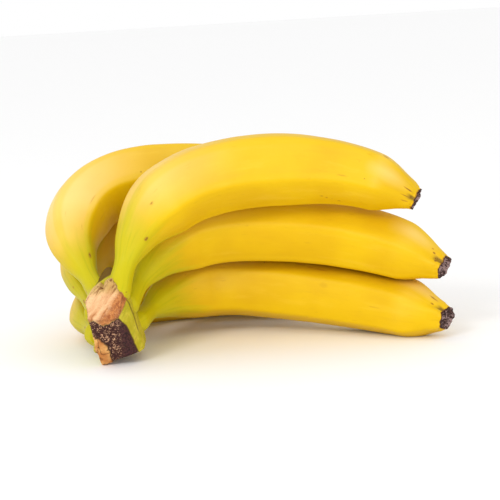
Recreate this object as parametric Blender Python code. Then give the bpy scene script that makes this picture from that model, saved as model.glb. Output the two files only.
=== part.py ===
"""A bunch of six bananas on one crown, lying on its side.

Every finger is a swept solid. Its centreline lies in one plane through the
fan axis (X) and bends from its start heading, through X, to its end heading.
The crown is a block of stem cut by a knife, with a socket for every neck.
Lengths are in metres and angles in degrees. +Z is up and the bunch lies on z = 0.
"""

import math

import bmesh
import bpy
import numpy as np
from mathutils import Matrix, Vector

# ---- one finger's thickness along its length, shared by all fingers ----
NECK_RADIUS = 0.0052        # thinnest part of the green neck
ROOT_SHARE = 0.62           # tapered neck end inside the crown, as a share of the neck
SHOULDER_RADIUS = 0.0093    # where the neck opens into the fruit
FRONT_RADIUS = 0.0170       # first full part of the fruit
BELLY_RADIUS = 0.0175       # thickest part
BACK_RADIUS = 0.0165        # far part of the fruit
TAPER_RADIUS = 0.0141       # where the end starts to draw in
TIP_RADIUS = 0.0062         # dried blossom end
TIP_FLARE = 1.25            # just before the blossom end, as a share of the tip

# ---- how wide the bunch opens ----
# The fans, roots and crown cuts below are drawn for fingers of these radii. Thicker
# fingers open the fans, and enlarge the crown with its roots, by the same share.
DRAWN_RADII = (0.0052, 0.0093, 0.0170, 0.0175, 0.0165, 0.0141)
RADII = (NECK_RADIUS, SHOULDER_RADIUS, FRONT_RADIUS, BELLY_RADIUS, BACK_RADIUS, TAPER_RADIUS)
SPREAD = max(1.0, max(radius / drawn for radius, drawn in zip(RADII, DRAWN_RADII)))

NECK_AT = 0.07              # shares of the finger's length
SHOULDER_AT = 0.15
FRONT_AT = 0.30
BELLY_AT = 0.50
BACK_AT = 0.72
TAPER_AT = 0.88
FLARE_AT = 0.965

# ---- cross-section: five flat sides with rounded ridges between them ----
SIDES = 5
RIDGE_ROUNDING = 14.0       # higher is a sharper ridge
RIDGE_STRENGTH = 0.42       # 0 is a round finger, 1 a full pentagon
STEPS_AROUND = 20
STEPS_ALONG = 38

# ---- where along its length a finger bends most ----
INNER_BEND = (0.08, 0.47)
OUTER_BEND = (0.13, 0.56)

# ---- the fingers ----
# root: where the neck leaves the crown, from the crown's middle
# fan: how far the finger's plane is turned up round the X axis
# start, end: heading at the root and at the tip, 0 along the fan, 90 along +X
# early: share of the bend that happens near the neck
# girth: thickness against the shared profile; lean: slant out of its plane
# turn: where the first ridge sits round the section
FINGERS = {
    "finger_inner_top": dict(
        root=(0.0030, -0.0042, 0.0134), fan=60.0, start=14.0, end=121.0, length=0.189,
        girth=1.04, lean=1.5, early=0.29, bend=INNER_BEND, turn=57.0),
    "finger_inner_middle": dict(
        root=(0.0066, 0.0045, 0.0053), fan=30.5, start=18.0, end=128.0, length=0.199,
        girth=0.99, lean=-0.5, early=0.45, bend=INNER_BEND, turn=50.0),
    "finger_inner_bottom": dict(
        root=(0.0105, 0.0166, -0.0063), fan=10.0, start=18.0, end=131.0, length=0.2,
        girth=0.97, lean=1.3, early=0.62, bend=INNER_BEND, turn=40.0),
    "finger_outer_top": dict(
        root=(-0.0058, 0.0030, 0.0089), fan=39.9, start=-23.7, end=111.0, length=0.211,
        girth=0.98, lean=4.0, early=0.58, bend=OUTER_BEND, turn=50.0),
    "finger_outer_middle": dict(
        root=(-0.0097, 0.0166, -0.0007), fan=20.5, start=-18.0, end=109.0, length=0.213,
        girth=0.87, lean=0.8, early=0.40, bend=OUTER_BEND, turn=54.0),
    "finger_outer_bottom": dict(
        root=(-0.0099, 0.0122, -0.0105), fan=-0.3, start=-14.0, end=117.0, length=0.209,
        girth=0.85, lean=-0.8, early=0.43, bend=OUTER_BEND, turn=60.0),
}
ROOT_DEPTH = 0.004          # how far a neck goes into the crown
TIP_CUP_DEPTH = 0.0012      # hollow in the dried blossom end
TIP_CUP_SHARE = 0.30        # width of its rim, as a share of the tip radius

# ---- the crown: its block, and each cut face by its distance from the middle ----
CROWN_BLOCK = 0.080         # uncut block, larger than the crown each way
CROWN_TOP_CUT = 0.0166      # pale cut face, up and to the front
CROWN_FRONT_CUT = 0.0144    # dark dried face, down and to the front
CROWN_STRIP_CUT = 0.0115    # green skin left at the front right
CROWN_RIGHT_CUT = 0.0106
CROWN_LEFT_CUT = 0.0110
CROWN_LEFT_TOP_CUT = 0.0149
CROWN_RIGHT_TOP_CUT = 0.0124
CROWN_FAN_CUT = 0.0085      # face that the necks leave by
CROWN_BACK_CUT = 0.0200
CROWN_FLOOR_CUT = 0.0238
CROWN_FLOOR_RIGHT_CUT = 0.0202
CROWN_BEVEL = 0.0015
SOCKET_CLEARANCE = 0.0003

# ---- how the bunch lies ----
PRESS = 0.0003              # how far the skin flattens where it touches the table

SKIN = (0.93, 0.72, 0.07, 1.0)
CROWN_BROWN = (0.23, 0.12, 0.07, 1.0)


def clear_scene():
    for item in list(bpy.data.objects):
        bpy.data.objects.remove(item, do_unlink=True)


def make_material(name, colour, roughness):
    material = bpy.data.materials.new(name)
    material.use_nodes = True
    shader = material.node_tree.nodes["Principled BSDF"]
    shader.inputs["Base Color"].default_value = colour
    shader.inputs["Roughness"].default_value = roughness
    shader.inputs["Metallic"].default_value = 0.0
    material.diffuse_color = colour
    return material


def smoothstep(x):
    x = np.clip(x, 0.0, 1.0)
    return x * x * (3.0 - 2.0 * x)


def monotone_curve(stations, values, t):
    """Cubic through the values, with slopes that never overshoot them."""
    stations = np.array(stations)
    values = np.array(values)
    run = np.diff(stations)
    slope = np.diff(values) / run
    tangent = np.zeros(len(values))
    for i in range(1, len(values) - 1):
        if slope[i - 1] * slope[i] > 0.0:
            w1 = 2.0 * run[i] + run[i - 1]
            w2 = run[i] + 2.0 * run[i - 1]
            tangent[i] = (w1 + w2) / (w1 / slope[i - 1] + w2 / slope[i])
    tangent[0] = slope[0]
    tangent[-1] = slope[-1]
    k = np.clip(np.searchsorted(stations, t) - 1, 0, len(run) - 1)
    u = (t - stations[k]) / run[k]
    return (
        values[k] * (1.0 + 2.0 * u) * (1.0 - u) ** 2
        + tangent[k] * run[k] * u * (1.0 - u) ** 2
        + values[k + 1] * u * u * (3.0 - 2.0 * u)
        + tangent[k + 1] * run[k] * u * u * (u - 1.0)
    )


def finger_radius(t, girth):
    stations = [0.0, NECK_AT, SHOULDER_AT, FRONT_AT, BELLY_AT, BACK_AT, TAPER_AT, FLARE_AT, 1.0]
    radii = [
        NECK_RADIUS, NECK_RADIUS, SHOULDER_RADIUS, FRONT_RADIUS, BELLY_RADIUS,
        BACK_RADIUS, TAPER_RADIUS, TIP_RADIUS * TIP_FLARE, TIP_RADIUS,
    ]
    return monotone_curve(stations, radii, t) * girth


def finger_frames(spec, steps):
    """Centre, heading, outer normal and side normal at each step along a finger."""
    t = np.linspace(0.0, 1.0, steps + 1)
    low, high = spec["bend"]
    early = spec["early"]
    share = early * smoothstep((t - low) / (high - low))
    share = share + (1.0 - early) * np.clip((t - 0.05) / 0.95, 0.0, 1.0)
    angle = np.radians(spec["start"] + (spec["end"] - spec["start"]) * share)
    fan = math.radians(spec["fan"] * SPREAD)
    along = np.array([1.0, 0.0, 0.0])
    out = np.array([0.0, math.cos(fan), math.sin(fan)])
    side = np.cross(along, out)
    lean = math.radians(-spec["lean"])
    flat = np.cos(angle)[:, None] * out + np.sin(angle)[:, None] * along
    heading = flat * math.cos(lean) + side * math.sin(lean)
    normal = np.sin(angle)[:, None] * out - np.cos(angle)[:, None] * along
    across = np.cross(heading, normal)
    step = spec["length"] / steps
    centre = np.zeros((steps + 1, 3))
    centre[1:] = np.cumsum((heading[1:] + heading[:-1]) * 0.5 * step, axis=0)
    centre += np.array(spec["root"]) * SPREAD
    return t, centre, heading, normal, across


def section(turn, steps):
    """Radii round a rounded pentagon, scaled to a mean of one."""
    theta = np.linspace(0.0, 2.0 * math.pi, steps, endpoint=False)
    ridge = math.radians(turn)
    flats = ridge + math.pi / SIDES + np.arange(SIDES) * 2.0 * math.pi / SIDES
    cosines = np.maximum(np.cos(theta[:, None] - flats[None]), 0.0)
    pentagon = (cosines ** RIDGE_ROUNDING).sum(axis=1) ** (-1.0 / RIDGE_ROUNDING)
    pentagon = pentagon / pentagon.mean()
    return theta, 1.0 + RIDGE_STRENGTH * (pentagon - 1.0)


def loft(rings, name):
    """Closed solid through rings of points, with a flat face at each end."""
    mesh = bmesh.new()
    loops = [[mesh.verts.new(point) for point in ring] for ring in rings]
    count = len(loops[0])
    for first, second in zip(loops[:-1], loops[1:]):
        for i in range(count):
            j = (i + 1) % count
            mesh.faces.new((first[i], first[j], second[j], second[i]))
    mesh.faces.new(list(reversed(loops[0])))
    end = mesh.faces.new(loops[-1])
    bmesh.ops.recalc_face_normals(mesh, faces=mesh.faces)
    return mesh, end


def add_object(name, mesh, material):
    data = bpy.data.meshes.new(name)
    mesh.to_mesh(data)
    mesh.free()
    data.materials.append(material)
    item = bpy.data.objects.new(name, data)
    bpy.context.scene.collection.objects.link(item)
    return item


def root_ring(ring, centre, heading, depth):
    """The first ring again, drawn back into the crown and tapered."""
    middle = Vector(centre)
    back = Vector(heading) * depth
    return [middle + (point - middle) * ROOT_SHARE - back for point in ring]


def finger_rings(spec):
    t, centre, heading, normal, across = finger_frames(spec, STEPS_ALONG)
    radius = finger_radius(t, spec["girth"])
    theta, shape = section(spec["turn"], STEPS_AROUND)
    round_part = smoothstep((t - NECK_AT) / (FRONT_AT - NECK_AT)) * (
        1.0 - smoothstep((t - TAPER_AT) / (1.0 - TAPER_AT)))
    rings = []
    for i in range(len(t)):
        size = radius[i] * (1.0 + (shape - 1.0) * (0.35 + 0.65 * round_part[i]))
        spokes = np.cos(theta)[:, None] * normal[i] + np.sin(theta)[:, None] * across[i]
        rings.append([Vector(p) for p in centre[i] + size[:, None] * spokes])
    rings.insert(0, root_ring(rings[0], centre[0], heading[0], ROOT_DEPTH * SPREAD))
    return rings


def make_finger(name, spec, material):
    mesh, end = loft(finger_rings(spec), name)
    rim = TIP_RADIUS * spec["girth"] * TIP_CUP_SHARE
    bmesh.ops.inset_region(mesh, faces=[end], thickness=rim, depth=0.0)
    inward = -end.normal * TIP_CUP_DEPTH
    bmesh.ops.translate(mesh, verts=list(end.verts), vec=inward)
    item = add_object(name, mesh, material)
    item.data.shade_smooth()
    return item


def neck_cutter(spec):
    """The neck, a little larger, from deep in the crown to clear of it."""
    steps = 60
    t, centre, heading, normal, across = finger_frames(spec, steps)
    theta = np.linspace(0.0, 2.0 * math.pi, 24, endpoint=False)
    radius = finger_radius(t, spec["girth"])
    grow = 1.0 + RIDGE_STRENGTH * 0.16
    rings = []
    for i in range(0, 16):
        size = radius[i] * grow + SOCKET_CLEARANCE
        spokes = np.cos(theta)[:, None] * normal[i] + np.sin(theta)[:, None] * across[i]
        rings.append([Vector(p) for p in centre[i] + size * spokes])
    rings.insert(0, root_ring(rings[0], centre[0], heading[0], ROOT_DEPTH * SPREAD + SOCKET_CLEARANCE))
    mesh, _ = loft(rings, "socket")
    return mesh


def cut(mesh, distance, direction):
    """Slice off what lies past a plane at a distance from the middle, and close the cut."""
    normal = Vector(direction).normalized()
    geometry = list(mesh.verts) + list(mesh.edges) + list(mesh.faces)
    result = bmesh.ops.bisect_plane(
        mesh, geom=geometry, plane_co=normal * distance * SPREAD, plane_no=normal, clear_outer=True)
    edges = [part for part in result["geom_cut"] if isinstance(part, bmesh.types.BMEdge)]
    bmesh.ops.holes_fill(mesh, edges=edges, sides=0)


def make_crown(material):
    mesh = bmesh.new()
    bmesh.ops.create_cube(mesh, size=CROWN_BLOCK)
    cut(mesh, CROWN_TOP_CUT, (0.05, -0.89, 0.45))
    cut(mesh, CROWN_FRONT_CUT, (0.06, -0.90, -0.44))
    cut(mesh, CROWN_STRIP_CUT, (0.86, -0.50, 0.04))
    cut(mesh, CROWN_RIGHT_CUT, (0.98, 0.0, 0.21))
    cut(mesh, CROWN_LEFT_CUT, (-0.99, 0.0, -0.16))
    cut(mesh, CROWN_LEFT_TOP_CUT, (-0.78, 0.0, 0.62))
    cut(mesh, CROWN_RIGHT_TOP_CUT, (0.81, 0.0, 0.58))
    cut(mesh, CROWN_FAN_CUT, (0.0, 0.70, 0.70))
    cut(mesh, CROWN_BACK_CUT, (0.0, 1.0, 0.0))
    cut(mesh, CROWN_FLOOR_CUT, (0.0, 0.0, -1.0))
    cut(mesh, CROWN_FLOOR_RIGHT_CUT, (0.31, 0.0, -0.95))
    bmesh.ops.recalc_face_normals(mesh, faces=mesh.faces)
    bmesh.ops.bevel(
        mesh, geom=list(mesh.edges), offset=CROWN_BEVEL, segments=2, profile=0.5, affect="EDGES")
    crown = add_object("crown", mesh, material)
    for name, spec in FINGERS.items():
        cutter = add_object("cut_" + name, neck_cutter(spec), material)
        cutter.hide_render = True
        cutter.display_type = "WIRE"
        socket = crown.modifiers.new("socket_" + name, "BOOLEAN")
        socket.operation = "DIFFERENCE"
        socket.solver = "EXACT"
        socket.object = cutter
    return crown


def solid_points(item):
    """Corners of an object's finished mesh, and its volume and first moment."""
    depsgraph = bpy.context.evaluated_depsgraph_get()
    mesh = item.evaluated_get(depsgraph).to_mesh()
    points = np.array([vertex.co[:] for vertex in mesh.vertices])
    mesh.calc_loop_triangles()
    triangles = np.array([triangle.vertices[:] for triangle in mesh.loop_triangles])
    a, b, c = points[triangles[:, 0]], points[triangles[:, 1]], points[triangles[:, 2]]
    sixth = np.einsum("ij,ij->i", a, np.cross(b, c)) / 6.0
    return points, sixth.sum(), (sixth[:, None] * (a + b + c) / 4.0).sum(axis=0)


def resting_turn(items):
    """The turn that brings the bunch down onto the three points it rests on.

    The bunch rests on a face of its convex hull, the one nearest to facing down
    whose outline holds the point below the centre of mass.
    """
    parts = [solid_points(item) for item in items]
    points = np.vstack([part[0] for part in parts])
    middle = sum(part[2] for part in parts) / sum(part[1] for part in parts)
    hull = bmesh.new()
    for point in points:
        hull.verts.new(point)
    bmesh.ops.convex_hull(hull, input=hull.verts, use_existing_faces=False)
    hull.normal_update()
    best = None
    for face in hull.faces:
        normal = face.normal
        corners = [vertex.co for vertex in face.verts]
        below = Vector(middle) - normal * (Vector(middle) - corners[0]).dot(normal)
        held = all(
            (corners[i] - corners[i - 1]).cross(below - corners[i - 1]).dot(normal) >= 0.0
            for i in range(len(corners)))
        if held and (best is None or normal.z < best.z):
            best = normal.copy()
    hull.free()
    return best.rotation_difference(Vector((0.0, 0.0, -1.0))).to_matrix().to_4x4()


def set_down(items, cutters):
    """Turn the bunch onto its resting points, centre it and flatten the skin there."""
    turn = resting_turn(items)
    for item in items + cutters:
        item.data.transform(turn)
    bpy.context.view_layer.update()
    points = np.vstack([solid_points(item)[0] for item in items])
    low = points.min(axis=0)
    high = points.max(axis=0)
    shift = Matrix.Translation((
        -(low[0] + high[0]) / 2.0, -(low[1] + high[1]) / 2.0, -low[2] - PRESS))
    for item in items + cutters:
        item.data.transform(shift)
    for item in items:
        for vertex in item.data.vertices:
            vertex.co.z = max(vertex.co.z, 0.0)
        item.data.update()


clear_scene()
skin = make_material("banana_skin", SKIN, 0.45)
brown = make_material("crown_stem", CROWN_BROWN, 0.85)
crown = make_crown(brown)
fingers = [make_finger(name, spec, skin) for name, spec in FINGERS.items()]
sockets = [modifier.object for modifier in crown.modifiers]
set_down([crown] + fingers, sockets)
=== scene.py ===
# %% [markdown]
# # A bunch of bananas
#
# Six bananas grow from one crown, the woody stub that a knife cut off the stalk. The bunch
# lies on its side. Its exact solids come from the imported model, and this lesson gives each
# of them a finer skin: ridges, dried blossom ends, a fibrous cut and ripening colours.
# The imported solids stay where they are, and every finished piece takes the place of one.

import math
from types import SimpleNamespace

import bpy
import numpy as np
from mathutils import Matrix, Vector


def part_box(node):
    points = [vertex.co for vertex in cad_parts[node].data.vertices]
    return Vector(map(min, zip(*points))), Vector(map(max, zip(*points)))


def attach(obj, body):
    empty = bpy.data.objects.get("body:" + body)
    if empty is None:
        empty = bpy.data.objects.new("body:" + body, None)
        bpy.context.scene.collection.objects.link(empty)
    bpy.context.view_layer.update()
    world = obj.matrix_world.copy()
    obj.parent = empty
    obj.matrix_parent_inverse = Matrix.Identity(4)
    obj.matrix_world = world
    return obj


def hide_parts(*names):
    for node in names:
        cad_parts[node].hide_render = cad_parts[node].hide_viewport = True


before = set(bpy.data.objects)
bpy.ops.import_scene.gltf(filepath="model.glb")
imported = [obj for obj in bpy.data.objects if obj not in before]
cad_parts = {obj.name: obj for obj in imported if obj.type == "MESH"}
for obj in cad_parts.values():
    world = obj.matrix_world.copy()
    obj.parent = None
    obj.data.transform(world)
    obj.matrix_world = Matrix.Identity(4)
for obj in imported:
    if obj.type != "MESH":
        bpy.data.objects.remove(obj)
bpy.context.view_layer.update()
print("solids:", sorted(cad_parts))

# %% [markdown]
# The bunch was drawn with its crown's middle at zero and then laid down on the three points
# that it rests on. Two numbers repeat that move: the direction that ended up pointing to
# the sky, and where the crown's middle went. All shapes below are worked out in the drawn
# position first, and `laid` then carries their points to the table.

# %% From the drawn position to the table
SKY_IN_DRAWING = Vector((-0.01045, 0.01679, 0.99980))
CROWN_MIDDLE = np.array([-0.06833, -0.05483, 0.02318])
lay_turn = np.array(SKY_IN_DRAWING.rotation_difference(Vector((0.0, 0.0, 1.0))).to_matrix())


def laid(points):
    """Points of the drawing, turned by the resting turn and moved by the crown's place."""
    return points @ lay_turn.T + CROWN_MIDDLE


print("tilt in degrees:", round(math.degrees(math.acos(lay_turn[2, 2])), 2))

# %% [markdown]
# Natural surfaces are never quite smooth. Lattice noise is the simplest way to vary them
# in numpy: every corner of a grid of small cubes gets a random number, and each point
# blends the eight corners around it. The random numbers come from a sine of the corner's
# place, so every run gives the same fruit.

# %% Smooth steps and smooth noise
def smooth(x):
    """0 below 0, 1 above 1, and 3x^2 - 2x^3 between them."""
    x = np.clip(x, 0.0, 1.0)
    return x * x * (3.0 - 2.0 * x)


def bump_at(x, middle, width):
    """A soft bell: 1 at the middle, falling to 0 at the width on either side."""
    return smooth(1.0 - np.abs(x - middle) / width)


def corner_value(cell, seed):
    """A repeatable random number from -1 to 1 for a corner: the fraction of a large sine."""
    mixed = np.sin(cell @ np.array([127.1, 311.7, 74.7]) + seed * 17.17) * 43758.5453
    return 2.0 * (mixed - np.floor(mixed)) - 1.0


def noise(points, size, seed=0):
    """Smooth noise from -1 to 1 with bumps of this size, blended between cube corners."""
    scaled = points / size
    cell = np.floor(scaled)
    part = smooth(scaled - cell)
    total = np.zeros(points.shape[:-1])
    for x in (0, 1):
        for y in (0, 1):
            for z in (0, 1):
                step = np.array([x, y, z])
                weight = np.prod(np.where(step == 1, part, 1.0 - part), axis=-1)
                total += weight * corner_value(cell + step, seed)
    return total


def rough_noise(points, size, seed=0, octaves=3):
    """Noise plus finer and weaker copies of it, each half the size and half the height."""
    total = 0.0
    for octave in range(octaves):
        total = total + noise(points, size / 2 ** octave, seed + octave) / 2 ** octave
    return total / 1.6


print("noise at three corners:", np.round(noise(np.eye(3) * 0.1, 0.03), 2))

# %% [markdown]
# A banana is a tube that closes at both ends. Its mesh is a grid: one number counts the
# rings from the crown end to the blossom end, the other goes round each ring. One point
# at each end closes the tube. It could be built face by face with bmesh, but arrays of
# corner numbers are much faster, and `foreach_set` copies them into the mesh at once.

# %% Faces of a closed tube
def tube_faces(rows, columns, around_up):
    """Corner numbers and face sizes: quads between rings, a fan of triangles at each end.

    Point k of ring r has the number r * columns + k, and the two closing points come last.
    around_up tells which way round the rings go, so that the faces point outwards.
    """
    row, column = np.meshgrid(np.arange(rows - 1), np.arange(columns), indexing="ij")
    after = (column + 1) % columns
    quads = np.stack([
        row * columns + column, row * columns + after,
        (row + 1) * columns + after, (row + 1) * columns + column], axis=-1).reshape(-1, 4)
    side = np.arange(columns)
    next_side = (side + 1) % columns
    start, last_row = rows * columns, (rows - 1) * columns
    fan_first = np.stack([np.full(columns, start), next_side, side], axis=-1)
    fan_last = np.stack([np.full(columns, start + 1), last_row + side, last_row + next_side], axis=-1)
    if not around_up:
        quads, fan_first, fan_last = quads[:, ::-1], fan_first[:, ::-1], fan_last[:, ::-1]
    corners = np.concatenate([quads.ravel(), fan_first.ravel(), fan_last.ravel()])
    sizes = np.concatenate([np.full(len(quads), 4), np.full(2 * columns, 3)])
    return corners.astype(np.int32), sizes.astype(np.int32)


print("faces of a tube of 3 rings of 4 points:", len(tube_faces(3, 4, True)[1]))

# %% [markdown]
# A material can only vary along the fruit if it knows where it is. So each mesh carries
# marks: named numbers on its points, such as how dry the skin is there. The materials
# read them back by name.

# %% A closed mesh with marks
def closed_tube(name, rings, marks, around_up):
    """An object from rows x columns x 3 points; each end closes at its ring's mean point."""
    rows, columns = rings.shape[:2]
    points = np.vstack([rings.reshape(-1, 3), rings[0].mean(axis=0), rings[-1].mean(axis=0)])
    corners, sizes = tube_faces(rows, columns, around_up)
    mesh = bpy.data.meshes.new(name)
    mesh.vertices.add(len(points))
    mesh.vertices.foreach_set("co", points.astype(np.float32).ravel())
    mesh.loops.add(len(corners))
    mesh.loops.foreach_set("vertex_index", corners)
    mesh.polygons.add(len(sizes))
    mesh.polygons.foreach_set("loop_start", (np.cumsum(sizes) - sizes).astype(np.int32))
    mesh.update(calc_edges=True)
    mesh.shade_smooth()
    for mark, values in marks.items():
        many = values.ndim == 3
        ends = np.concatenate([values[0].mean(axis=0).ravel(), values[-1].mean(axis=0).ravel()])
        layer = mesh.attributes.new(mark, "FLOAT_VECTOR" if many else "FLOAT", "POINT")
        layer.data.foreach_set(
            "vector" if many else "value", np.append(values.ravel(), ends).astype(np.float32))
    piece = bpy.data.objects.new(name, mesh)
    bpy.context.scene.collection.objects.link(piece)
    return piece


def points_of(piece):
    """The mesh's points as an array of one row each."""
    points = np.empty(len(piece.data.vertices) * 3)
    piece.data.vertices.foreach_get("co", points)
    return points.reshape(-1, 3)


def signed_volume(piece):
    """Volume in cm3, positive when the faces point outwards: a sixth of the triple products."""
    mesh = piece.data
    mesh.calc_loop_triangles()
    triangles = np.empty(len(mesh.loop_triangles) * 3, np.int32)
    mesh.loop_triangles.foreach_get("vertices", triangles)
    a, b, c = points_of(piece)[triangles.reshape(-1, 3)].transpose(1, 0, 2)
    return 1e6 * np.einsum("ij,ij->i", a, np.cross(b, c)).sum() / 6.0


# %% [markdown]
# ## The fingers
#
# Growers call one banana a finger. A thin green neck leaves the crown, opens at the
# shoulder, stays thick for most of the length, draws in again and ends in the dried
# remains of the flower. One thickness profile serves all six, scaled by each one's girth.
# A cubic that never overshoots its stations keeps the profile free of waves.

# %% Thickness along a finger
NECK, SHOULDER, FRONT, BELLY, BACK, TAPER, TIP = (
    0.0052, 0.0093, 0.0170, 0.0175, 0.0168, 0.0153, 0.0058)
NECK_AT, SHOULDER_AT, FRONT_AT, BELLY_AT, BACK_AT, TAPER_AT, FLARE_AT = (
    0.07, 0.15, 0.30, 0.50, 0.72, 0.88, 0.965)
TIP_FLARE = 1.50


def smooth_curve(stations, values, t):
    """Cubic pieces through the values, each slope a weighted harmonic mean of its sides."""
    stations, values = np.array(stations), np.array(values)
    run = np.diff(stations)
    slope = np.diff(values) / run
    first, second = 2.0 * run[1:] + run[:-1], run[1:] + 2.0 * run[:-1]
    same_way = slope[:-1] * slope[1:] > 0.0
    safe = np.where(slope == 0.0, 1.0, slope)
    inner = np.where(same_way, (first + second) / (first / safe[:-1] + second / safe[1:]), 0.0)
    tangent = np.concatenate([slope[:1], inner, slope[-1:]])
    k = np.clip(np.searchsorted(stations, t) - 1, 0, len(run) - 1)
    u = (t - stations[k]) / run[k]
    return (values[k] * (1.0 + 2.0 * u) * (1.0 - u) ** 2
            + tangent[k] * run[k] * u * (1.0 - u) ** 2
            + values[k + 1] * u * u * (3.0 - 2.0 * u)
            + tangent[k + 1] * run[k] * u * u * (u - 1.0))


def thickness(t):
    """Radius at each share t of the finger's length."""
    stations = [0.0, NECK_AT, SHOULDER_AT, FRONT_AT, BELLY_AT, BACK_AT, TAPER_AT, FLARE_AT, 1.0]
    radii = [NECK, NECK, SHOULDER, FRONT, BELLY, BACK, TAPER, TIP * TIP_FLARE, TIP]
    return smooth_curve(stations, radii, t)


print("radius in mm at tenths:", np.round(1000 * thickness(np.linspace(0, 1, 11)), 1))

# %% [markdown]
# Each finger bends in a plane of its own. All planes contain the same sideways axis, and
# open like the pages of a book: `fan` is how far a page is lifted. In its page a finger
# starts at the `start` heading and bends to the `end` heading, most of it near the neck.
# `early` is the share of the bend that comes near the neck, between the two shares `bend`.
# `turn` places the first of the five ridges round the section. The sizes are close to
# those that the solids were drawn with, so the fine skin follows them.
#
# Some fingers have small differences of their own: `nudge` shifts the centre (at which
# share, over which width, by how many mm), `slim` draws the underside up in the same way,
# `collar` swells the root where it grows out of the crown, `bloom` is how
# strong the painted highlight on the lit back is, `ripe` moves the yellow towards the neck,
# and `dries_at` is where the tip turns dry.

# %% The six fingers
INNER_BEND = (0.08, 0.47)
OUTER_BEND = (0.13, 0.56)
FINGERS = {
    "finger_inner_top": dict(
        root=(0.0030, -0.0042, 0.0134), fan=60.0, start=14.0, end=121.0, length=0.1905,
        nudge=(1.0, 0.66, (0.0, 0.0, -2.0)), slim=(0.85, 0.24, 1.6), collar=0.05,
        girth=1.055, lean=1.5, early=0.29, bend=INNER_BEND, turn=60.0, bloom=0.60, dries_at=0.9975),
    "finger_inner_middle": dict(
        root=(0.0066, 0.0045, 0.0053), fan=30.5, start=18.0, end=128.0, length=0.199,
        nudge=(1.0, 0.24, (0.0, 0.0, -1.0)), dries_at=0.9955, collar=0.05,
        girth=0.99, lean=-0.5, early=0.45, bend=INNER_BEND, turn=60.0),
    "finger_inner_bottom": dict(
        root=(0.0105, 0.0166, -0.0063), fan=10.0, start=18.0, end=131.0, length=0.2,
        nudge=(0.92, 0.08, (0.0, 0.0, -0.6)), dries_at=0.9955, collar=0.05,
        girth=0.97, lean=1.3, early=0.62, bend=INNER_BEND, turn=60.0),
    "finger_outer_top": dict(
        root=(-0.0058, 0.0030, 0.0089), fan=39.9, start=-23.7, end=111.0, length=0.211,
        nudge=(0.20, 0.14, (-0.9, 0.0, -0.3)), ripe=0.03,
        girth=0.98, lean=4.0, early=0.58, bend=OUTER_BEND, turn=60.0, bloom=0.95),
    "finger_outer_middle": dict(
        root=(-0.0097, 0.0166, -0.0007), fan=20.5, start=-18.0, end=109.0, length=0.213,
        nudge=(0.15, 0.13, (-0.8, 0.0, 0.0)),
        girth=0.87, lean=0.8, early=0.40, bend=OUTER_BEND, turn=54.0, bloom=0.5),
    "finger_outer_bottom": dict(
        root=(-0.0099, 0.0122, -0.0105), fan=-0.3, start=-14.0, end=117.0, length=0.209,
        nudge=(0.16, 0.13, (-0.8, 0.0, 0.0)),
        girth=0.85, lean=-0.8, early=0.43, bend=OUTER_BEND, turn=60.0, bloom=0.5),
}
print("lengths in mm:", {name: round(1000 * spec["length"]) for name, spec in FINGERS.items()})

# %% [markdown]
# The centre line could be a curve object, but then its points would have to be read back.
# Here it is a running sum: the heading turns by a known angle, and each short step goes
# along the heading. The path gives two more directions, `normal` and `across`, to draw
# the section in.

# %% Centre line and radius
MM = 0.001
NOT_SLIM = (0.8, 0.1, 0.0)


def slimming(spec, t):
    """How far in metres the underside is drawn up there: a bump of its own place and width."""
    at, width, depth = spec.get("slim", NOT_SLIM)
    return bump_at(t, at, width) * depth * MM


def finger_radius(spec, t):
    """The shared thickness times the finger's own girth, less its slimming."""
    return thickness(t) * spec["girth"] - slimming(spec, t)


def finger_path(spec, t):
    """Centre, heading and the two directions across it, for each share t of the length.

    The heading's angle runs from start to end, by a smooth step near the neck plus a
    steady part. The centre is the running sum of the headings.
    """
    low, high = spec["bend"]
    share = spec["early"] * smooth((t - low) / (high - low))
    share = share + (1.0 - spec["early"]) * np.clip((t - 0.05) / 0.95, 0.0, 1.0)
    angle = np.radians(spec["start"] + (spec["end"] - spec["start"]) * share)[:, None]
    fan, lean = math.radians(spec["fan"]), math.radians(-spec["lean"])
    along = np.array([1.0, 0.0, 0.0])
    out = np.array([0.0, math.cos(fan), math.sin(fan)])
    flat = np.cos(angle) * out + np.sin(angle) * along
    heading = flat * math.cos(lean) + np.cross(along, out) * math.sin(lean)
    normal = np.sin(angle) * out - np.cos(angle) * along
    across = np.cross(heading, normal)
    steps = np.diff(t)[:, None] * spec["length"]
    centre = np.zeros_like(heading)
    centre[1:] = np.cumsum((heading[1:] + heading[:-1]) * 0.5 * steps, axis=0)
    at, width, move = spec["nudge"]
    centre = centre + bump_at(t, at, width)[:, None] * np.array(move) * MM
    centre[:, 2] += slimming(spec, t)
    return centre + np.array(spec["root"]), heading, normal, across


for name, spec in FINGERS.items():
    ends = finger_path(spec, np.linspace(0.0, 1.0, 200))[0][[0, -1]]
    print(name, "from root to tip in mm:", round(1000 * np.linalg.norm(ends[1] - ends[0])))

# %% [markdown]
# The section is a pentagon with rounded corners: the corners are the ridges that run from
# neck to tip. It could be five arcs and five lines, but a soft minimum of five flat sides
# gives it in one formula. Divided by its mean radius, it keeps the finger's girth.

# %% The ridged section
RIDGES = 5
RIDGE_SHARPNESS = 22.0


def pentagon(theta, turn):
    """Radius round the section: five flat sides under a soft minimum."""
    flats = turn[..., None] + math.pi / RIDGES + np.arange(RIDGES) * 2.0 * math.pi / RIDGES
    facing = np.maximum(np.cos(theta[..., None] - flats), 0.0)
    return (facing ** RIDGE_SHARPNESS).sum(axis=-1) ** (-1.0 / RIDGE_SHARPNESS)


whole_turn = np.linspace(0.0, 2.0 * math.pi, 720, endpoint=False)
SECTION_MEAN = pentagon(whole_turn[None], np.zeros((1, 1))).mean()


def ridged_section(theta, turn):
    """The pentagon divided by its mean radius."""
    return pentagon(theta, turn) / SECTION_MEAN


print("section's mean radius before scaling:", round(SECTION_MEAN, 4))

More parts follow.
